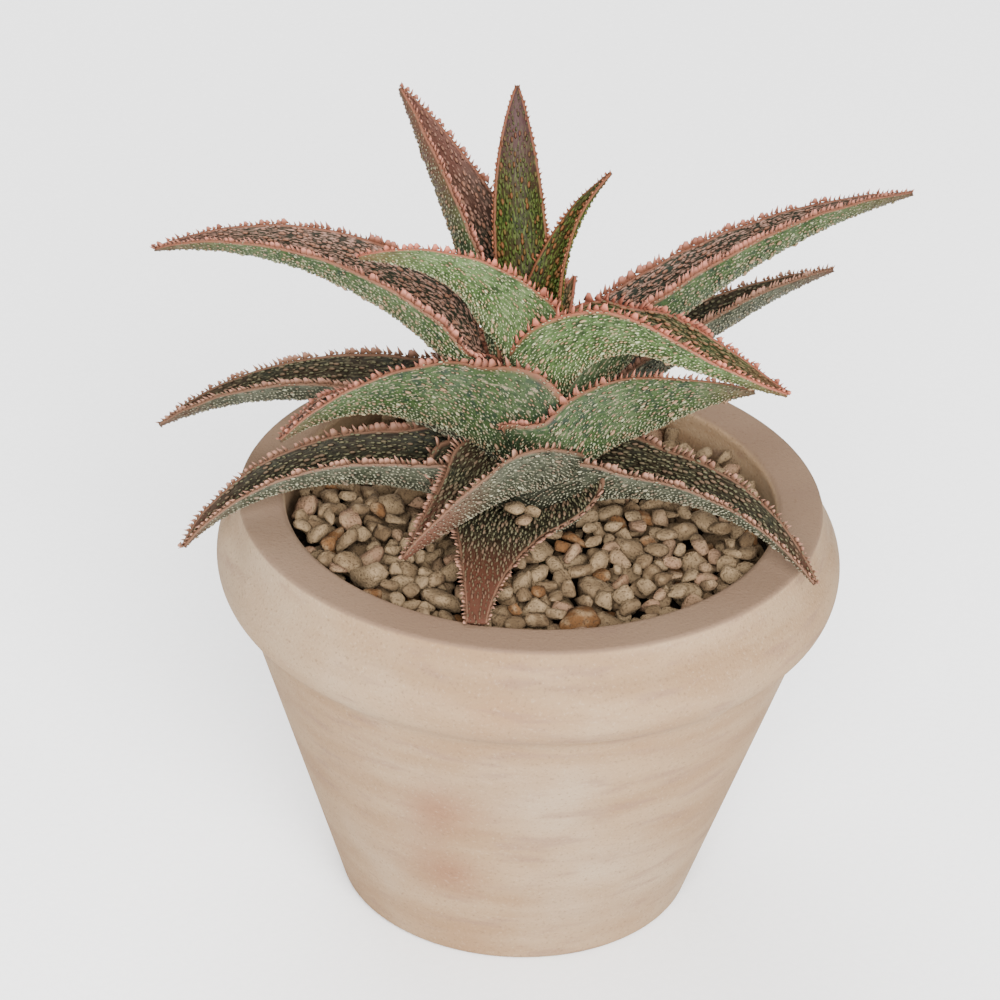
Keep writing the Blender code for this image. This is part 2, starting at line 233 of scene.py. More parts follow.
def stem_radius(height):
    share = min(1.0, max(0.0, (height - STEM_TAPER_FROM) / (STEM_TOP - STEM_TAPER_FROM)))
    return mix(STEM_RADIUS, STEM_TIP_RADIUS, share)


def blade_thickness(leaf, share, across):
    """Fleshy along the middle of the root, thin at the margins and the tip."""
    share = max(0.0, share)
    fullest = THICKNESS_SHARE * leaf["width"] * MM
    middle = fullest * (1.0 - TIP_THINNING * share) * (0.8 + 0.2 * ease(share / 0.2))
    edge = EDGE_THICKNESS - EDGE_THINNING * share
    return edge + max(0.0, middle - edge) * (1.0 - across * across)


def leaf_stations(leaf):
    """Share of the length, keel point, along, bearing and pitch, from the sheath to the tip."""
    length = leaf["length"] * MM
    steps = max(8, round(length / STEP)) * FINE_STEPS
    start = radians(leaf["azimuth"])
    lean = 0.5 * blade_thickness(leaf, 0.0, 0.0) * sin(radians(leaf["rise"]))
    root_radius = stem_radius(leaf["root"] * MM) + ROOT_GAP + lean
    point = Vector((root_radius * cos(start), root_radius * sin(start), leaf["root"] * MM))
    stations = []
    for index in range(SHEATH_STEPS, 0, -1):
        below = leaf["drop"] * MM * index / SHEATH_STEPS
        low = point - Vector((0.0, 0.0, below))
        stations.append((-below / length, low, Vector((0.0, 0.0, 1.0)), start, pi / 2))
    for index in range(steps + 1):
        share = index / steps
        heading = radians(leaf["azimuth"] + leaf["sweep"] * share ** leaf["turn"])
        bent = min(1.0, share / leaf["settle"]) ** leaf["bend"]
        pitch = radians(leaf["rise"] - leaf["droop"] * bent)
        along = Vector((cos(pitch) * cos(heading), cos(pitch) * sin(heading), sin(pitch)))
        if index % FINE_STEPS == 0:
            stations.append((share, point.copy(), along, heading, pitch))
        point += along * (length / steps)
    return stations


# %% [markdown]
# Across, the blade is a shallow channel, and its sheath is a deep one that holds the stem. Both
# are arcs with a flesh thickness, so one formula gives both: the arc's radius, its fold and its
# tilt start as the sheath's and ease into the blade's over the first part of the length.
# Leaves pack in a spiral, so the margin of a broad one comes round in front of the stem, and
# the younger leaves inside push it up. Such a leaf has its own clasp, and a lift in millimetres
# that raises one margin near the root. Seen from the stem, that is the left one if it is
# positive, else the right one.
# Sheath, rolled and lifted are the shares of the length where those changes end.

# %% Section of a leaf
TILT_SHARE = 0.22
SHEATH_GAP = 1.6


def leaf_section(leaf, station):
    """Fold of each half, radius of the section's arc, and the side and up axes."""
    share, _, _, heading, pitch = station
    drop = leaf["drop"] / leaf["length"]
    grown = ease(share / leaf["sheath"])
    fold = radians(mix(leaf["clasp"], leaf["fold"], grown))
    slimming = (1.0 - max(0.0, share) ** leaf["full"]) ** leaf["taper"]
    blade = 0.5 * leaf["width"] * MM * slimming + leaf["tip"] * MM
    stem = leaf.get("clasp_radius", stem_radius(leaf["root"] * MM) / MM + SHEATH_GAP) * MM
    bow = mix(stem, blade / radians(leaf["fold"]), grown)
    tilted = ease((share + drop) / (TILT_SHARE + drop))
    steeper = mix(pi / 2, pitch, tilted)
    ahead = Vector((cos(steeper) * cos(heading), cos(steeper) * sin(heading), sin(steeper)))
    side = Vector((-sin(heading), cos(heading), 0.0))
    up = ahead.cross(side)
    roll = radians(leaf["roll"] * ease(share / leaf["rolled"]))
    roll += radians(leaf["twist"] * max(0.0, share))
    return fold, bow, side * cos(roll) + up * sin(roll), up * cos(roll) - side * sin(roll)


def section_point(leaf, station, section, across, face):
    """A point of the upper (1) or lower (-1) face, or of the middle (0)."""
    share, point = station[:2]
    fold, bow, side, up = section
    turned = fold * across
    offset = face * 0.5 * blade_thickness(leaf, share, across)
    sideways = (bow - offset) * sin(turned)
    upward_part = bow - (bow - offset) * cos(turned)
    lift = leaf["lift"]
    raised = abs(lift) * MM * max(0.0, across if lift > 0.0 else -across) ** 2
    raised *= 1.0 - ease(share / leaf["lifted"])
    return point + side * sideways + up * upward_part + Vector((0.0, 0.0, raised))


# %% [markdown]
# The blade is a closed skin in mesh code: one ring of points at each station, round the upper
# face, the rounded rim, the lower face and the other rim. Each point keeps where it lies on
# the leaf in plain attributes, which the nodes and the shader read later.

# %% Blade of a leaf
COLUMNS = 21
RIM_BULGE = 0.3 * MM
SPROUT_FROM = 0.1
RIPPLE = 0.35 * MM
RIPPLE_LENGTH = 7.0 * MM
SPREAD = [2.0 * step / (COLUMNS - 1) - 1.0 for step in range(COLUMNS)]
RING = ([(across, 1) for across in SPREAD] + [(1.0, 0)]
        + [(across, -1) for across in reversed(SPREAD)] + [(-1.0, 0)])


def margin_ripple(leaf, point):
    """The real margin is never quite even: a slow wave of a third of a millimetre."""
    seed = Vector((leaf["azimuth"], leaf["root"], 0.0))
    return RIPPLE * noise.noise(point / RIPPLE_LENGTH + seed)


def skin_point(leaf, station, section, across, face):
    """A point of the blade's skin. The rims bulge, and the margins wave."""
    share, point = station[:2]
    fold, _, side, up = section
    place = section_point(leaf, station, section, across, face)
    if face == 0:
        outward = side * cos(fold * across) + up * sin(fold * across)
        place += outward * across * RIM_BULGE
    wave = ease((abs(across) - 0.55) / 0.45) * ease(share / 0.2)
    return place + up * margin_ripple(leaf, point + side * across * 0.01) * wave


def blade_points(leaf, stations):
    """The skin's points, each with its way along the leaf and its marks."""
    places, ways = [], []
    marks = {name: [] for name in ("share", "across", "face", "rim", "room")}
    for station in stations:
        section = leaf_section(leaf, station)
        share, _, along = station[:3]
        for across, face in RING:
            places.append(skin_point(leaf, station, section, across, face))
            ways.append(tuple(along))
            sprouts = ease((share + SPROUT_FROM) / SPROUT_FROM) * abs(face)
            room = sprouts * ease((1.06 - abs(across)) / 0.12)
            for name, value in zip(marks, (share, across, face, 1 - abs(face), room)):
                marks[name].append(float(value))
    return places, ways, marks


def blade_mesh(leaf):
    """A mesh with the attributes share, across, face, rim, room and along."""
    stations = leaf_stations(leaf)
    places, ways, marks = blade_points(leaf, stations)
    ring = len(RING)
    faces = []
    for row in range(len(stations) - 1):
        for column in range(ring):
            here = row * ring + column
            beside = row * ring + (column + 1) % ring
            faces.append((here, beside, beside + ring, here + ring))
    faces.append(tuple(range(ring))[::-1])
    faces.append(tuple(range((len(stations) - 1) * ring, len(stations) * ring)))
    made = bpy.data.meshes.new(leaf["name"] + "_blade")
    made.from_pydata(places, [], faces)
    for name, values in marks.items():
        made.attributes.new(name, "FLOAT", "POINT").data.foreach_set("value", values)
    flat = [value for way in ways for value in way]
    made.attributes.new("along", "FLOAT_VECTOR", "POINT").data.foreach_set("vector", flat)
    shape = bmesh.new()
    shape.from_mesh(made)
    if shape.calc_volume(signed=True) < 0.0:
        bmesh.ops.reverse_faces(shape, faces=shape.faces)
    for face in shape.faces:
        face.smooth = True
    shape.to_mesh(made)
    shape.free()
    return made


# %% [markdown]
# The margins carry soft pink teeth, joined at their feet in clusters, with paler tips that lean
# to the leaf's tip. Both faces carry bumps that lean the same way: fine cream ones all over the
# outer face, and coarser, pinkish ones on the inner face. All of these repeat, so one Geometry
# Nodes tree grows them on every leaf, and its sizes and shares are its inputs.

# %% What the tree takes
KIND_BUMP = 1.0
KIND_TOOTH = 2.0
BUMP_LEAN = 0.35
LEAST_GROWTH = 0.45
MOST_GROWTH = 1.4
SPIKE_SIZE = (0.6 * MM, 0.3 * MM, 2.0 * MM)
FOOT_SIZE = (1.2 * MM, 0.36 * MM, 1.45 * MM)
SPROUT_INPUTS = (
    ("Points Tried", "NodeSocketFloat", 6.0e6),
    ("Fine Size", "NodeSocketVector", (0.6 * MM, 0.2 * MM, 0.4 * MM)),
    ("Fine Gap", "NodeSocketFloat", 0.76 * MM),
    ("Fine Outer Share", "NodeSocketFloat", 1.0),
    ("Fine Inner Share", "NodeSocketFloat", 0.3),
    ("Coarse Size", "NodeSocketVector", (0.85 * MM, 0.32 * MM, 0.5 * MM)),
    ("Coarse Gap", "NodeSocketFloat", 1.15 * MM),
    ("Coarse Outer Share", "NodeSocketFloat", 0.1),
    ("Coarse Inner Share", "NodeSocketFloat", 0.95),
    ("Spike Size", "NodeSocketVector", SPIKE_SIZE),
    ("Spike Share", "NodeSocketFloat", 0.9),
    ("Foot Size", "NodeSocketVector", FOOT_SIZE),
    ("Foot Share", "NodeSocketFloat", 0.62),
    ("Seed", "NodeSocketInt", 1),
    ("Material", "NodeSocketMaterial", None),
)


def new_tree(title, inputs):
    """A Geometry Nodes tree with geometry in and out, and its inputs' sockets."""
    tree = bpy.data.node_groups.new(title, "GeometryNodeTree")
    for name, kind, value in (("Geometry", "NodeSocketGeometry", None), *inputs):
        socket = tree.interface.new_socket(name, in_out="INPUT", socket_type=kind)
        if value is not None:
            socket.default_value = value
    tree.interface.new_socket("Geometry", in_out="OUTPUT", socket_type="NodeSocketGeometry")
    return tree, add(tree, "NodeGroupInput").outputs


# %% [markdown]
# One function makes a small cone and notes how tall each of its points stands, for the shader.
# Another stands a shape on chosen points, leaning to the tip, each larger or smaller by luck.

# %% Standing a shape on points
def small_cone(tree, sides, top):
    shape = add(tree, "GeometryNodeMeshCone", {
        "Vertices": sides, "Radius Top": top, "Radius Bottom": 1.0, "Depth": 1.0})
    spot = add(tree, "ShaderNodeSeparateXYZ", {0: add(tree, "GeometryNodeInputPosition")})
    return add(tree, "GeometryNodeStoreNamedAttribute", {
        "Geometry": shape, "Name": "tall", "Value": spot.outputs["Z"]}, domain="POINT", **FLOAT)


def stand(tree, points, normal, selection, seed, shape, size, lean, kind):
    along = add(tree, "GeometryNodeInputNamedAttribute", {"Name": "along"},
                data_type="FLOAT_VECTOR")
    leaning = add(tree, "ShaderNodeVectorMath", {0: along, 1: (lean, lean, lean), 2: normal},
                  operation="MULTIPLY_ADD")
    turned = add(tree, "FunctionNodeAxesToRotation", {0: leaning, 1: along},
                 primary_axis="Z", secondary_axis="X")
    luck = add(tree, "FunctionNodeRandomValue", {2: 0.0, 3: 1.0, 8: seed}, **FLOAT)
    grown = add(tree, "ShaderNodeMapRange", {0: luck, 3: LEAST_GROWTH, 4: MOST_GROWTH})
    scale = add(tree, "ShaderNodeVectorMath", {0: size, 1: grown}, **MULTIPLY)
    made = add(tree, "GeometryNodeInstanceOnPoints", {
        "Points": points, "Selection": selection, "Instance": shape,
        "Rotation": turned, "Scale": scale})
    for name, value in (("kind", kind), ("luck", luck)):
        made = add(tree, "GeometryNodeStoreNamedAttribute", {
            "Geometry": made, "Name": name, "Value": value}, domain="INSTANCE", **FLOAT)
    return made


# %% [markdown]
# Bumps keep a least distance from each other, as on the real skin, and are longer than wide, so
# they read as lines. They get smaller towards the leaf's tip.

# %% Bumps on the faces
def scatter_bumps(tree, given, share, face, room):
    inner = add(tree, "ShaderNodeMapRange", {0: face, 1: -1.0, 2: 1.0})
    smaller = add(tree, "ShaderNodeMapRange", {0: share, 1: 0.6, 2: 1.0, 3: 1.0, 4: 0.7})
    shapes = {"Fine": small_cone(tree, 5, 0.0), "Coarse": small_cone(tree, 6, 0.5)}
    branches = []
    for step, (word, shape) in enumerate(shapes.items()):
        seed = add(tree, "ShaderNodeMath", {0: given["Seed"], 1: 40.0 * step})
        shares = add(tree, "ShaderNodeMix", {0: inner, 2: given[word + " Outer Share"],
                                             3: given[word + " Inner Share"]})
        factor = add(tree, "ShaderNodeMath", {0: shares, 1: room}, **MULTIPLY)
        strewn = add(tree, "GeometryNodeDistributePointsOnFaces", {
            "Mesh": given["Geometry"], "Distance Min": given[word + " Gap"], "Seed": seed,
            "Density Max": given["Points Tried"], "Density Factor": factor},
            distribute_method="POISSON").outputs
        size = add(tree, "ShaderNodeVectorMath", {0: given[word + " Size"], 1: smaller}, **MULTIPLY)
        branches.append(stand(tree, strewn["Points"], strewn["Normal"], True, seed,
                              shape, size, BUMP_LEAN, KIND_BUMP))
    return branches


# %% [markdown]
# A tooth is a slender spike on a wide foot, and the feet of neighbours join. Both stand on the
# rims' own points, each kept or left out by luck, and are smaller on the sheath and at the tip.

# %% Teeth on the rims
def stand_teeth(tree, given, share, rim):
    young = add(tree, "ShaderNodeMapRange", {0: share, 1: -0.05, 2: 0.15, 3: 0.25, 4: 1.0})
    fading = add(tree, "ShaderNodeMapRange", {0: share, 1: 0.3, 2: 1.0, 3: 1.0, 4: 0.5})
    grown = add(tree, "ShaderNodeMath", {0: young, 1: fading}, **MULTIPLY)
    outward = add(tree, "GeometryNodeInputNormal")
    shapes = {"Spike": (small_cone(tree, 5, 0.06), 0.6), "Foot": (small_cone(tree, 6, 0.3), 0.35)}
    branches = []
    for step, (word, (shape, lean)) in enumerate(shapes.items()):
        seed = add(tree, "ShaderNodeMath", {0: given["Seed"], 1: 90.0 + 40.0 * step})
        drawn = add(tree, "FunctionNodeRandomValue", {6: given[word + " Share"], 8: seed},
                    data_type="BOOLEAN")
        here = add(tree, "ShaderNodeMath", {0: drawn, 1: rim}, **MULTIPLY)
        size = add(tree, "ShaderNodeVectorMath", {0: given[word + " Size"], 1: grown}, **MULTIPLY)
        branches.append(stand(tree, given["Geometry"], outward, here, seed,
                              shape, size, lean, KIND_TOOTH))
    return branches


# %% [markdown]
# The whole tree joins the blade with its bumps and teeth. It ends in Realize Instances and Set
# Material, because only real mesh is exported.

# %% Tree that grows a leaf's teeth and bumps
def sprout_tree():
    tree, given = new_tree("toothed_leaf", SPROUT_INPUTS)
    rim, room, share, face = (
        add(tree, "GeometryNodeInputNamedAttribute", {"Name": name}, **FLOAT)
        for name in ("rim", "room", "share", "face"))
    branches = scatter_bumps(tree, given, share, face, room)
    branches += stand_teeth(tree, given, share, rim)
    joined = add(tree, "GeometryNodeJoinGeometry")
    for branch in reversed(branches):
        tree.links.new(branch.outputs[0], joined.inputs[0])
    tree.links.new(given["Geometry"], joined.inputs[0])
    real = add(tree, "GeometryNodeRealizeInstances", {0: joined})
    smooth = add(tree, "GeometryNodeSetShadeSmooth", {0: real})
    dressed = add(tree, "GeometryNodeSetMaterial", {
        "Geometry": smooth, "Material": given["Material"]})
    add(tree, "NodeGroupOutput", {0: dressed})
    return tree


# %% [markdown]
# Four short helpers serve every piece: one sets a modifier's inputs, one bakes its result to a
# plain mesh, one makes an object at the origin, and one counts triangles.

# %% Helpers for pieces
def set_inputs(modifier, values):
    """Sets a modifier's inputs by their sockets' identifiers."""
    for item in modifier.node_group.interface.items_tree:
        if item.in_out == "INPUT" and item.name in values:
            modifier[item.identifier] = values[item.name]


def baked(thing):
    """Gives the object its evaluated mesh, and takes its modifiers off."""
    graph = bpy.context.evaluated_depsgraph_get()
    made = bpy.data.meshes.new_from_object(thing.evaluated_get(graph))
    thing.modifiers.clear()
    thing.data = made
    return thing


def new_object(name, mesh):
    made = bpy.data.objects.new(name, mesh)
    bpy.context.scene.collection.objects.link(made)
    return made


def triangle_count(thing):
    return sum(len(face.vertices) - 2 for face in thing.data.polygons)


# %% [markdown]
# A natural surface is a first colour with others laid over it, each where some value is high or
# low: a noise, the height, or how near a point is to a leaf's rim. One function lays such coats.
# Porous surfaces hardly shine, so the specular level starts low.

# %% Shader helpers
POROUS_SPECULAR = 0.12


def new_material(name):
    """A material with its tree, its Principled shader and its object coordinates."""
    made = bpy.data.materials.new(name)
    made.use_nodes = True
    tree = made.node_tree
    place = add(tree, "ShaderNodeTexCoord").outputs["Object"]
    return made, tree, tree.nodes["Principled BSDF"], place


def coats(tree, colour, *layers):
    """Lays colours over a first one. Each has a value, where that starts and ends, and a most."""
    for coat, value, start, end, most in layers:
        cover = add(tree, "ShaderNodeMapRange", {0: value, 1: start, 2: end, 3: 0.0, 4: most},
                    interpolation_type="SMOOTHSTEP")
        colour = add(tree, "ShaderNodeMix", {0: cover, 6: colour, 7: coat}, data_type="RGBA")
    return colour


def finish_with(tree, shader, colour, roughness, relief):
    """Links a colour, a value with its least and greatest roughness, and a bump to the shader."""
    shader.inputs["Specular IOR Level"].default_value = POROUS_SPECULAR
    value, least, greatest = roughness
    rough = add(tree, "ShaderNodeMapRange", {0: value, 1: 0.3, 2: 0.7, 3: least, 4: greatest})
    for key, socket in (("Base Color", colour.outputs[2]), ("Roughness", rough.outputs[0]),
                        ("Normal", relief.outputs[0])):
        tree.links.new(socket, shader.inputs[key])

# %% [markdown]
# Aloe skin is a waxy cuticle over green flesh. It is not glossy: wax and bumps scatter the
# light, so it reads as satin. Where it meets strong sun it flushes red-brown, most on the inner
# face, along the margins and at the tip. The bumps are pale cream on the outer face and pinkish
# on the inner one, and the horny rim and teeth are salmon pink. Between the bumps, wax gathers in
# short lines. Their noise is laid in the leaf's own lengths, longer along it than across, so they
# follow its curve. The skin's cells are too fine for a picture, so they are drawn a quarter of a
# millimetre wide. The same shader serves every leaf, with its own colours for old, grown, fresh
# and young ones. The colours are deep, because the studio's light is strong.

# %% Skin of the leaves
SKINS = {
    "old": dict(shade="#1E2018", flesh="#2F3226", bloom="#48493D", dark="#12100A", flush="#271B13",
                bump="#7A7864", lump="#524F3B", grain="#423D2D", pink="#584336", rim="#5E4435",
                tooth="#866252", tip="#4A2A1F"),
    "grown": dict(shade="#19241A", flesh="#2B391E", bloom="#3C472F", dark="#141C11", flush="#261711",
                  bump="#76785F", lump="#7C5E50", grain="#8C6C5E", pink="#76523F", rim="#684233",
                  tooth="#935F50", tip="#472B23"),
    "fresh": dict(shade="#202C17", flesh="#374828", bloom="#4C5A3A", dark="#141C0B", flush="#281810",
                  bump="#868B6C", lump="#5A4A34", grain="#665C3E", pink="#7C523C", rim="#784536",
                  tooth="#A0604E", tip="#50281E"),
    "young": dict(shade="#151E08", flesh="#222E0D", bloom="#2A3612", dark="#151A08", flush="#331B0E",
                  bump="#565C2C", lump="#36401B", grain="#424C20", pink="#5E3220", rim="#5C3625",
                  tooth="#84503A", tip="#3C282A"),
}
CELL = 0.25 * MM
PATCH = 9.0 * MM
STREAK = 1.6 * MM
GRAIN_LENGTH = 1.9 * MM
GRAIN_WIDTH = 0.62 * MM
WAX_IOR = 1.45
WAX_SPECULAR = 0.09


def aloe_skin(leaf, hues):
    """Waxy leaf skin, which scatters the light."""
    made, tree, shader, place = new_material(leaf["name"] + "_skin")
    share, across, face, kind, luck, tall = (
        add(tree, "ShaderNodeAttribute", attribute_name=word).outputs["Fac"]
        for word in ("share", "across", "face", "kind", "luck", "tall"))
    patches, streaks, cells = (
        add(tree, "ShaderNodeTexNoise", {"Vector": place, "Scale": 1.0 / size, "Detail": detail})
        for size, detail in ((PATCH, 3.0), (STREAK, 2.0), (CELL, 2.0)))
    lengthwise, crosswise = (
        add(tree, "ShaderNodeMath", {0: value, 1: reach * MM / size}, **MULTIPLY)
        for value, reach, size in ((share, leaf["length"], GRAIN_LENGTH),
                                   (across, 0.5 * leaf["width"], GRAIN_WIDTH)))
    on_leaf = add(tree, "ShaderNodeCombineXYZ", {0: lengthwise, 1: crosswise, 2: face})
    grains = add(tree, "ShaderNodeTexNoise", {"Vector": on_leaf, "Scale": 1.0, "Detail": 3.0})
    edge = add(tree, "ShaderNodeMath", {0: across}, operation="ABSOLUTE")
    red_from, red_to = leaf["reddened"], leaf["reddened"] + 0.4
    waxed = leaf["grained"]

    outer = coats(tree, hues["shade"], (hues["flesh"], streaks, 0.32, 0.6, 1.0),
                  (hues["bloom"], patches, 0.35, 0.7, 0.7), (hues["bump"], grains, 0.54, 0.72, 0.6),
                  (hues["dark"], grains, 0.46, 0.3, 0.6))
    inner = coats(tree, hues["dark"], (hues["shade"], streaks, 0.35, 0.65, 1.0),
                  (hues["flush"], patches, 0.3, 0.6, leaf["flushed"]),
                  (hues["grain"], grains, 0.47, 0.64, waxed))
    skin = coats(tree, outer, (inner, face, -0.3, 0.4, 1.0),
                 (hues["tip"], share, red_from, red_to, 0.8),
                 (hues["grain"], grains, 0.56, 0.7, 0.6 * waxed),
                 # Painted shade: each leaf is darker towards its root, and darkest on the sheath, where
                 # the leaves around it shade it.
                 (hues["dark"], share, 0.2, 0.0, 0.5), (hues["dark"], share, 0.02, -0.05, 0.9),
                 (hues["rim"], edge, 0.95, 1.0, 0.85))
    wart = coats(tree, hues["bump"], (hues["lump"], face, -0.3, 0.4, 1.0),
                 (hues["pink"], luck, 0.65, 0.95, 0.75),
                 (hues["tip"], share, red_from, red_to, 0.45))
    wart = coats(tree, skin, (wart, tall, 0.0, 0.7, 1.0))
    tooth = coats(tree, hues["rim"], (hues["tooth"], tall, 0.1, 0.9, 1.0),
                  (hues["tip"], luck, 0.7, 1.0, 0.4))
    colour = coats(tree, skin, (wart, kind, 0.4, 0.6, 1.0), (tooth, kind, 1.4, 1.6, 1.0))
    fine = add(tree, "ShaderNodeBump", {"Strength": 0.35, "Distance": 0.12 * MM, "Height": cells})
    relief = add(tree, "ShaderNodeBump", {
        "Strength": 0.5, "Distance": 0.25 * MM, "Height": grains, "Normal": fine})
    finish_with(tree, shader, colour, (patches, 0.45, 0.62), relief)
    shader.inputs["IOR"].default_value = WAX_IOR
    shader.inputs["Specular IOR Level"].default_value = WAX_SPECULAR
    return made


# %% [markdown]
# Old leaves sit low and are dark and grey. Grown ones above them have more wax and pinker teeth,
# fresh ones are the greenest, and the young ones are olive with orange margins. Small leaves
# have small teeth.

# %% Grow the leaves
AGES = ((118.0, "old"), (136.0, "grown"), (143.0, "fresh"), (200.0, "young"))
FULL_TOOTH_WIDTH = 24.0
FIRST_SEED = 3
grower = sprout_tree()


def grow_leaf(leaf, index):
    age = leaf.get("age") or next(word for limit, word in AGES if leaf["root"] < limit)
    skin = aloe_skin(leaf, SKINS[age])
    piece = new_object(leaf["name"] + "_blade", blade_mesh(leaf))
    modifier = piece.modifiers.new("sprouts", "NODES")
    modifier.node_group = grower
    slim = min(1.0, leaf["width"] / FULL_TOOTH_WIDTH)
    set_inputs(modifier, {"Seed": index + FIRST_SEED, "Material": skin,
                          "Spike Size": tuple(side * slim for side in SPIKE_SIZE),
                          "Foot Size": tuple(side * slim for side in FOOT_SIZE)})
    baked(piece)
    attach(piece, "root")
    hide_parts(leaf["name"])
    return triangle_count(piece)


triangles = [grow_leaf(leaf, index) for index, leaf in enumerate(LEAVES)]
print("leaf triangles:", sum(triangles), "largest", max(triangles))

# %% [markdown]
# Under the leaves the stem is a short green-brown stub with the scars of old leaves round it. A
# turned profile with low rings is enough, since little of it shows.

# %% Stem
SCAR_STEP = 3.2 * MM
SCAR_DEPTH = 0.35 * MM
STEM_FOOT = 55.0 * MM
STEM_RINGS = 90
STEM_SIDES = 48


def turned(name, profile, closed, steps):
    """A profile of (radius, height) points turned about Z by a Screw modifier."""
    mesh = bpy.data.meshes.new(name)
    count = len(profile)
    edges = [(index, index + 1) for index in range(count - 1)]
    if closed:
        edges.append((count - 1, 0))
    mesh.from_pydata([(radius, 0.0, height) for radius, height in profile], edges, [])
    made = new_object(name, mesh)
    screw = made.modifiers.new("turn", "SCREW")
    screw.steps = steps
    screw.render_steps = steps
    screw.use_merge_vertices = True
    screw.merge_threshold = 0.00001
    baked(made)
    shape = bmesh.new()
    shape.from_mesh(made.data)
    bmesh.ops.recalc_face_normals(shape, faces=shape.faces)
    for face in shape.faces:
        face.smooth = True
    shape.to_mesh(made.data)
    shape.free()
    return made


def stem_finish(name):
    """Dry, fibrous bark: matt, with a grain that runs up the stem."""
    made, tree, shader, place = new_material(name)
    fibres = add(tree, "ShaderNodeMapping", {"Vector": place, "Scale": (1.0, 1.0, 0.25)})
    grain = add(tree, "ShaderNodeTexNoise", {"Vector": fibres, "Scale": 1.0 / (1.2 * MM), "Detail": 3.0})
    relief = add(tree, "ShaderNodeBump", {"Strength": 0.5, "Distance": 0.3 * MM, "Height": grain})
    finish_with(tree, shader, coats(tree, "#241F12", ("#3E4224", grain, 0.35, 0.65, 1.0)),
                (grain, 0.6, 0.75), relief)
    return made


def build_stem():
    profile = [(0.0, STEM_FOOT), (STEM_RADIUS - 1.5 * MM, STEM_FOOT)]
    top = STEM_TOP - 3.0 * MM
    for step in range(STEM_RINGS + 1):
        height = mix(STEM_FOOT + 2.0 * MM, top, step / STEM_RINGS)
        scar = SCAR_DEPTH * (0.5 + 0.5 * cos(2.0 * pi * height / SCAR_STEP))
        profile.append((stem_radius(height) - 0.1 * MM - scar, height))
    profile.append((0.0, STEM_TOP))
    piece = turned("scarred_stem", profile, False, STEM_SIDES)
    piece.data.materials.append(stem_finish("scarred_green_bark"))
    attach(piece, "root")
    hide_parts("stem")


build_stem()

# %% [markdown]
# Pumice is a froth of volcanic glass, so its grains are blocky with rounded edges, matt, pale tan
# and pitted with tiny dark pores. Twelve grain shapes are made once in mesh code: the hull of
# fifteen random points, its edges softened by one level of a Subdivision Surface, then
# roughened. Each has few faces, because hundreds of grains are laid.

# %% Grain shapes
GRAIN_KINDS = 12
GRAIN_SEED = 5
GRAIN_CORNERS = 15
GRAIN_CREASE = 0.35


def grain_mesh(index):
    draw = random.Random(GRAIN_SEED * 100 + index)
    stretch = Vector((draw.uniform(1.1, 1.35), draw.uniform(0.85, 1.05), draw.uniform(0.7, 0.9)))
    shape = bmesh.new()
    for _ in range(GRAIN_CORNERS):
        way = Vector((draw.gauss(0, 1), draw.gauss(0, 1), draw.gauss(0, 1))).normalized()
        shape.verts.new(Vector(a * b for a, b in zip(way * draw.uniform(0.95, 1.15), stretch)))
    hull = bmesh.ops.convex_hull(shape, input=shape.verts)
    loose = [item for item in hull["geom_interior"] if isinstance(item, bmesh.types.BMVert)]
    bmesh.ops.delete(shape, geom=loose, context="VERTS")
    bmesh.ops.recalc_face_normals(shape, faces=shape.faces)
    mesh = bpy.data.meshes.new(f"grain_{index}")
    shape.to_mesh(mesh)
    shape.free()
    grain = new_object(f"grain_{index}", mesh)
    crease = mesh.attributes.new("crease_edge", "FLOAT", "EDGE")
    crease.data.foreach_set("value", [GRAIN_CREASE] * len(mesh.edges))
    rounder = grain.modifiers.new("round", "SUBSURF")
    rounder.levels = 1
    rounder.render_levels = 1
    baked(grain)
    shift = Vector((index * 7.0, 0.0, 0.0))
    for corner in grain.data.vertices:
        dents = 0.09 * noise.noise(corner.co * 1.8 + shift)
        pits = 0.05 * noise.noise(corner.co * 5.0 + shift)
        corner.co *= 1.0 + (dents + pits)
    for face in grain.data.polygons:
        face.use_smooth = True
    return grain


grain_kinds = bpy.data.collections.new("grain_kinds")
for index in range(GRAIN_KINDS):
    grain = grain_mesh(index)
    bpy.context.scene.collection.objects.unlink(grain)
    grain_kinds.objects.link(grain)

# %% [markdown]
# The grains were poured, so each came to rest in the lowest hollow it could roll into. The same
# rule lays them here: for each grain a few random spots are tried, and it takes the one where it
# would lie lowest on the grains before it. The heap is held in by the pot and the stem. Nestle is
# how closely grains lie, sink how deep the lowest ones sit, stack how high one rides on another,
# and headroom how far one may reach up, all as shares of the radius.

# %% Pour the gravel
POUR_FLOOR = 91.6 * MM
POUR_TOP = 103.2 * MM
GRAIN_RADII = (2.1 * MM, 5.2 * MM)
GRAIN_COUNT = 720
SPOTS_TRIED = 14
POUR_SEED = 8
TURN_SEED = 4
WALL_RADIUS = 57.8 * MM
NESTLE = 0.86
SINK = 0.6
STACK = 0.8
HEADROOM = 0.7
MORE_SMALL_ONES = 1.35


def resting_height(spot, radius, placed):
    height = POUR_FLOOR + radius * SINK
    for other, other_height, size in placed:
        reach = NESTLE * (radius + size)
        gap = (spot - other).length
        if gap < reach:
            height = max(height, other_height + STACK * (reach * reach - gap * gap) ** 0.5)
    return height


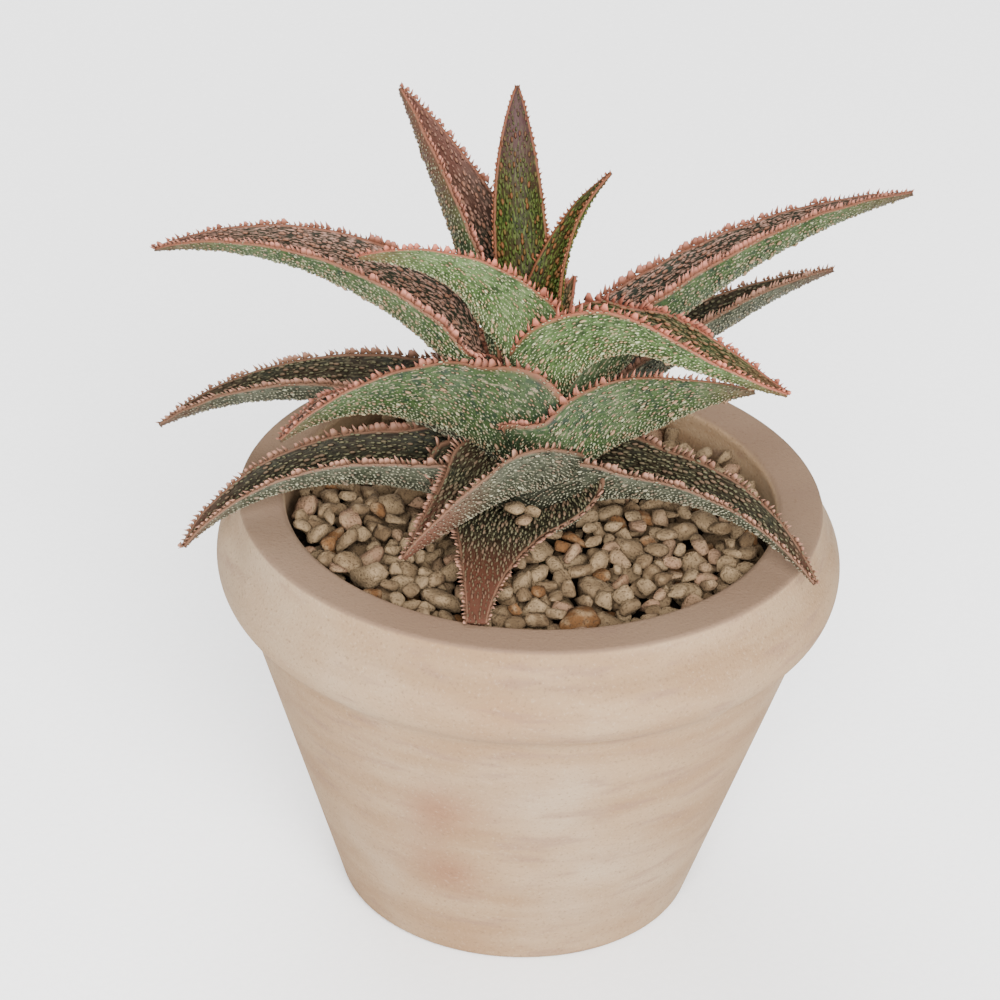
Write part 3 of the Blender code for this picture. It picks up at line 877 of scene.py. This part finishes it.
def pour():
    draw = random.Random(POUR_SEED)
    placed = []
    for _ in range(GRAIN_COUNT * 3):
        radius = mix(*GRAIN_RADII, draw.random() ** MORE_SMALL_ONES)
        best = None
        for _ in range(SPOTS_TRIED):
            distance = (WALL_RADIUS - radius) * draw.random() ** 0.5
            angle = draw.uniform(-pi, pi)
            if distance < STEM_RADIUS + 0.8 * radius:
                continue
            spot = Vector((distance * cos(angle), distance * sin(angle)))
            height = resting_height(spot, radius, placed)
            if best is None or height < best[1]:
                best = (spot, height, radius)
        if best and best[1] + HEADROOM * radius < POUR_TOP:
            placed.append(best)
        if len(placed) >= GRAIN_COUNT:
            break
    return placed


def scatter_tree():
    """Instances one of a collection's shapes on each point, with its own turn and size."""
    tree, given = new_tree("poured_grains", (("Shapes", "NodeSocketCollection", None),
                                             ("Seed", "NodeSocketInt", None),
                                             ("Material", "NodeSocketMaterial", None)))
    shapes = add(tree, "GeometryNodeCollectionInfo", {
        "Collection": given["Shapes"], "Separate Children": True, "Reset Children": True})
    pick = add(tree, "FunctionNodeRandomValue", {4: 0, 5: GRAIN_KINDS - 1, 8: given["Seed"]},
               data_type="INT")
    spin = add(tree, "FunctionNodeRandomValue", {
        0: (-0.5, -0.5, 0.0), 1: (0.5, 0.5, 2.0 * pi), 8: given["Seed"]}, data_type="FLOAT_VECTOR")
    stood = add(tree, "FunctionNodeEulerToRotation", {0: spin})
    size = add(tree, "GeometryNodeInputNamedAttribute", {"Name": "size"}, **FLOAT)
    made = add(tree, "GeometryNodeInstanceOnPoints", {
        "Points": given["Geometry"], "Instance": shapes, "Pick Instance": True,
        "Instance Index": pick, "Rotation": stood, "Scale": size})
    luck = add(tree, "FunctionNodeRandomValue", {2: 0.0, 3: 1.0, 8: given["Seed"]}, **FLOAT)
    made = add(tree, "GeometryNodeStoreNamedAttribute", {
        "Geometry": made, "Name": "luck", "Value": luck}, domain="INSTANCE", **FLOAT)
    real = add(tree, "GeometryNodeRealizeInstances", {0: made})
    dressed = add(tree, "GeometryNodeSetMaterial", {
        "Geometry": real, "Material": given["Material"]})
    add(tree, "NodeGroupOutput", {0: dressed})
    return tree


def pumice(name):
    """Porous volcanic stone: matt tan, with darker pores about half a millimetre wide."""
    made, tree, shader, place = new_material(name)
    luck = add(tree, "ShaderNodeAttribute", attribute_name="luck").outputs["Fac"]
    clouds, pores = (
        add(tree, "ShaderNodeTexNoise", {"Vector": place, "Scale": 1.0 / size, "Detail": 3.0})
        for size in (3.0 * MM, 0.55 * MM))
    stone = coats(tree, "#544330", ("#6F5D46", luck, 0.0, 0.7, 1.0),
                  ("#745A46", luck, 0.75, 0.9, 1.0), ("#573A20", luck, 0.93, 0.95, 0.95),
                  # The pale clouds are partly the stone's own lighter patches and partly painted
                  # highlights.
                  ("#887358", clouds, 0.45, 0.7, 0.6), ("#3A2C20", pores, 0.53, 0.66, 0.7))
    relief = add(tree, "ShaderNodeBump", {
        "Strength": 1.0, "Distance": 0.45 * MM, "Height": pores}, invert=True)
    finish_with(tree, shader, stone, (clouds, 0.85, 0.97), relief)
    return made


stone_finish = pumice("pumice_stone")
scatter = scatter_tree()


def grains_piece(name, placed, seed):
    """Turns resting places into one mesh of grains."""
    mesh = bpy.data.meshes.new(name)
    mesh.from_pydata([(spot.x, spot.y, height) for spot, height, _ in placed], [], [])
    sizes = mesh.attributes.new("size", "FLOAT", "POINT")
    sizes.data.foreach_set("value", [radius for _, _, radius in placed])
    piece = new_object(name, mesh)
    modifier = piece.modifiers.new("grains", "NODES")
    modifier.node_group = scatter
    set_inputs(modifier, {"Shapes": grain_kinds, "Seed": seed, "Material": stone_finish})
    baked(piece)
    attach(piece, "root")
    return piece


poured = pour()
gravel = grains_piece("poured_gravel", poured, TURN_SEED)
print("grains poured:", len(poured), "triangles", triangle_count(gravel))

# %% [markdown]
# Under and between the grains lies the top of the soil: dark, moist potting mix. It only closes
# the view between the stones, so its plain solid is kept and gets a rough, dark finish.

# %% Soil
def potting_soil(name):
    """Moist crumbs, which hardly reflect."""
    made, tree, shader, place = new_material(name)
    crumbs = add(tree, "ShaderNodeTexNoise", {"Vector": place, "Scale": 1.0 / (1.6 * MM), "Detail": 4.0})
    relief = add(tree, "ShaderNodeBump", {"Strength": 1.0, "Distance": 1.0 * MM, "Height": crumbs})
    finish_with(tree, shader, coats(tree, "#15100C", ("#2E2319", crumbs, 0.4, 0.7, 1.0)),
                (crumbs, 0.85, 1.0), relief)
    return made


frame["nodes"]["soil"].data.materials[0] = potting_soil("moist_potting_soil")
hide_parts("gravel")

# %% [markdown]
# Three grains lie loose on the front leaf, where they fell when the gravel was poured. Each is
# given by how far it lies from the middle of its node, and by its size, in millimetres.

# %% Grains on the front leaf
FALLEN = ((-1.6, 1.7, 0.2, 2.8), (2.2, 1.2, 0.0, 2.3), (0.6, -2.6, -0.4, 2.3))
FALLEN_SEED = 11

leaf_low, leaf_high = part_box("grains_on_leaf")
middle = (Vector(leaf_low) + Vector(leaf_high)) / 2
on_leaf = [(Vector((middle.x + aside * MM, middle.y + behind * MM)), middle.z + above * MM, size * MM)
           for aside, behind, above, size in FALLEN]
fallen = grains_piece("fallen_grains", on_leaf, FALLEN_SEED)
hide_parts("grains_on_leaf")
for thing in list(grain_kinds.objects):
    bpy.data.objects.remove(thing, do_unlink=True)
bpy.data.collections.remove(grain_kinds)

# %% [markdown]
# The pot is thrown or pressed terracotta that has weathered to a pale grey-beige. Fired clay is
# porous and matt. Turning leaves faint level streaks, and lime from the water leaves a pale
# bloom in soft clouds, with two pinker stains low in front. The flat of the rim is painted a
# darker brown: that is painted shade, since the soft front light falls less on the top than on
# the walls. The clay's grit is drawn 0.7 mm wide, coarser than it is, so that it shows.

# %% Terracotta
COLLAR_RADIUS = 74.97 * MM
RIM_HEIGHT = 105.5 * MM
RIDGE_RADIUS = 70.0 * MM
LIP_RADIUS = 59.3 * MM
COLLAR_FOOT = 77.0 * MM
BULGE_DEPTH = 7.5 * MM
BULGE_HALF_HEIGHT = 10.0 * MM
BULGE_BELOW_RIM = 15.5 * MM
WALL_TOP_RADIUS = 67.5 * MM
BASE_RADIUS = 43.3 * MM
BASE_EDGE = 2.5 * MM
INSIDE_TOP_RADIUS = 58.3 * MM
INSIDE_SHOULDER = 82.0 * MM
INSIDE_FLOOR_RADIUS = 37.5 * MM
FLOOR_THICKNESS = 8.0 * MM
DRAIN_RADIUS = 7.0 * MM
DRAIN_EDGE = 0.8 * MM
LIP_ROUND = 2.0 * MM
LIP_FLAT = LIP_RADIUS + 1.4 * MM
RIDGE_ROUND = 1.0 * MM
RIM_SHADE = 0.8
POT_SIDES = 192
CLAY_IOR = 1.5


def arc_points(centre, radius_x, radius_z, first, last, count):
    """Points of an elliptical arc, angles in degrees."""
    angles = [radians(mix(first, last, step / count)) for step in range(count + 1)]
    return [(centre[0] + radius_x * cos(a), centre[1] + radius_z * sin(a)) for a in angles]


def run(first, last, count):
    """Even points between two corners, the first left out."""
    steps = [step / count for step in range(1, count + 1)]
    return [(mix(first[0], last[0], s), mix(first[1], last[1], s)) for s in steps]


STAINS = ((-17.0 * MM, -54.0 * MM, 52.0 * MM), (-15.0 * MM, -48.0 * MM, 31.0 * MM))
STAIN_REACH = 17.0 * MM


def terracotta(name):
    """Weathered clay: matt and porous, streaked by turning, clouded with lime."""
    made, tree, shader, place = new_material(name)
    level = add(tree, "ShaderNodeMapping", {"Vector": place, "Scale": (1.0, 1.0, 5.0)})
    clouds, bands, streaks, grit = (
        add(tree, "ShaderNodeTexNoise", {"Vector": vector, "Scale": 1.0 / size, "Detail": detail})
        for vector, size, detail in ((place, 38.0 * MM, 4.0), (level, 45.0 * MM, 6.0),
                                     (level, 16.0 * MM, 4.0), (place, 0.7 * MM, 3.0)))
    clay = coats(tree, "#7C6248", ("#8F795F", bands, 0.3, 0.7, 0.7),
                 ("#978670", clouds, 0.45, 0.75, 0.6),
                 ("#7E6046", clouds, 0.42, 0.25, 0.5), ("#71584A", streaks, 0.53, 0.72, 0.5))
    for spot in STAINS:
        away = add(tree, "ShaderNodeVectorMath", {0: place, 1: spot}, operation="DISTANCE")
        ragged = add(tree, "ShaderNodeMath", {0: clouds, 1: -30.0 * MM, 2: away.outputs["Value"]},
                     operation="MULTIPLY_ADD")
        clay = coats(tree, clay, ("#704C37", ragged, 0.0, -STAIN_REACH, 0.85))
    height = add(tree, "ShaderNodeSeparateXYZ", {0: place}).outputs["Z"]
    clay = coats(tree, clay, ("#A0907A", grit, 0.42, 0.28, 0.25),
                 # Painted shade: the flat top of the rim is darker brown, as it gets less of the front
                 # light than the walls.
                 ("#634F41", height, RIM_HEIGHT - RIDGE_ROUND, RIM_HEIGHT - 0.2 * MM, RIM_SHADE),
                 ("#5A4636", grit, 0.57, 0.74, 0.5))
    relief = add(tree, "ShaderNodeBump", {"Strength": 0.6, "Distance": 0.35 * MM, "Height": grit})
    swirl = add(tree, "ShaderNodeBump", {
        "Strength": 0.35, "Distance": 1.0 * MM, "Height": bands, "Normal": relief})
    finish_with(tree, shader, clay, (bands, 0.8, 0.95), swirl)
    shader.inputs["IOR"].default_value = CLAY_IOR
    return made


def build_pot():
    cove = (RIDGE_RADIUS + 1.2 * MM, RIM_HEIGHT - 4.6 * MM)
    ridge = (RIDGE_RADIUS - RIDGE_ROUND, RIM_HEIGHT - RIDGE_ROUND)
    bulge = (COLLAR_RADIUS - BULGE_DEPTH, RIM_HEIGHT - BULGE_BELOW_RIM)
    profile = [(LIP_FLAT, RIM_HEIGHT)]
    profile += run(profile[-1], (RIDGE_RADIUS - 1.2 * MM, RIM_HEIGHT), 4)
    profile += arc_points(ridge, RIDGE_ROUND, RIDGE_ROUND, 80, 0, 4)
    profile += run(profile[-1], cove, 3)
    profile += arc_points(bulge, BULGE_DEPTH, BULGE_HALF_HEIGHT, 52, -74, 26)
    profile += [(WALL_TOP_RADIUS + 0.2 * MM, COLLAR_FOOT + 0.4 * MM),
                (WALL_TOP_RADIUS, COLLAR_FOOT - 0.6 * MM)]
    edge = (BASE_RADIUS - BASE_EDGE, BASE_EDGE)
    foot = arc_points(edge, BASE_EDGE, BASE_EDGE, -15, -90, 6)
    profile += run(profile[-1], foot[0], 24) + foot[1:]
    profile += run(foot[-1], (DRAIN_RADIUS + DRAIN_EDGE, 0.0), 4)
    profile += [(DRAIN_RADIUS, DRAIN_EDGE), (DRAIN_RADIUS, FLOOR_THICKNESS - DRAIN_EDGE)]
    profile += [(DRAIN_RADIUS + DRAIN_EDGE, FLOOR_THICKNESS)]
    profile += run(profile[-1], (INSIDE_FLOOR_RADIUS, FLOOR_THICKNESS), 4)
    profile += run(profile[-1], (INSIDE_TOP_RADIUS, INSIDE_SHOULDER), 8)
    profile += run(profile[-1], (LIP_RADIUS - 0.6 * MM, RIM_HEIGHT - 2.4 * MM), 8)
    profile += arc_points((LIP_FLAT, RIM_HEIGHT - LIP_ROUND), LIP_ROUND, LIP_ROUND, 170, 100, 5)
    piece = turned("terracotta_pot", profile, True, POT_SIDES)
    piece.data.materials.append(terracotta("weathered_terracotta"))
    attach(piece, "root")
    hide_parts("pot")
    print("pot triangles:", triangle_count(piece))


build_pot()

# %% [markdown]
# The object stands on a plain sheet of pale studio paper, which reaches past the picture's edge.
# Its fibres are drawn 2 mm wide, since real ones are too fine to show.

# %% Floor
REACH = 6.0
paper, paper_tree, paper_shader, paper_place = new_material("studio_paper")
fibres = add(paper_tree, "ShaderNodeTexNoise", {"Vector": paper_place, "Scale": 1.0 / (2.0 * MM)})
paper_colour = coats(paper_tree, "#FAFAFA", ("#FDFDFD", fibres, 0.3, 0.7, 1.0))
paper_relief = add(paper_tree, "ShaderNodeBump", {"Strength": 0.02, "Height": fibres})
finish_with(paper_tree, paper_shader, paper_colour, (fibres, 0.85, 0.95), paper_relief)
corners = [(-REACH, -REACH, 0), (REACH, -REACH, 0), (REACH, REACH, 0), (-REACH, REACH, 0)]
floor_mesh = bpy.data.meshes.new("floor")
floor_mesh.from_pydata(corners, [], [(0, 1, 2, 3)])
floor_mesh.materials.append(paper)
floor = new_object("floor", floor_mesh)

# %% [markdown]
# The photograph's light is soft and comes from the front, a little from the right, so walls are
# brighter than tops. A large soft box does that, a weaker one behind and above lights the leaves'
# far sides, and an even white room fills the shadows.

# %% Light and air
FRONT_BOX = ("front_box", (0.25, -1.9, 1.15), 1.5, 200.0)
REAR_BOX = ("rear_box", (-0.5, 1.5, 1.9), 1.8, 70.0)
LIT_SPOT = Vector((0.0, 0.0, 0.1))

world = bpy.data.worlds.new("studio_air")
world.use_nodes = True
air = world.node_tree.nodes["Background"]
air.inputs["Color"].default_value = linear("#FBFBFC")
air.inputs["Strength"].default_value = 1.0
bpy.context.scene.world = world


def softbox(name, place, size, watts):
    data = bpy.data.lights.new(name, "AREA")
    data.shape = "SQUARE"
    data.size = size
    data.energy = watts
    made = bpy.data.objects.new(name, data)
    bpy.context.scene.collection.objects.link(made)
    way = LIT_SPOT - Vector(place)
    made.rotation_euler = way.to_track_quat("-Z", "Y").to_euler()
    made.location = place


softbox(*FRONT_BOX)
softbox(*REAR_BOX)
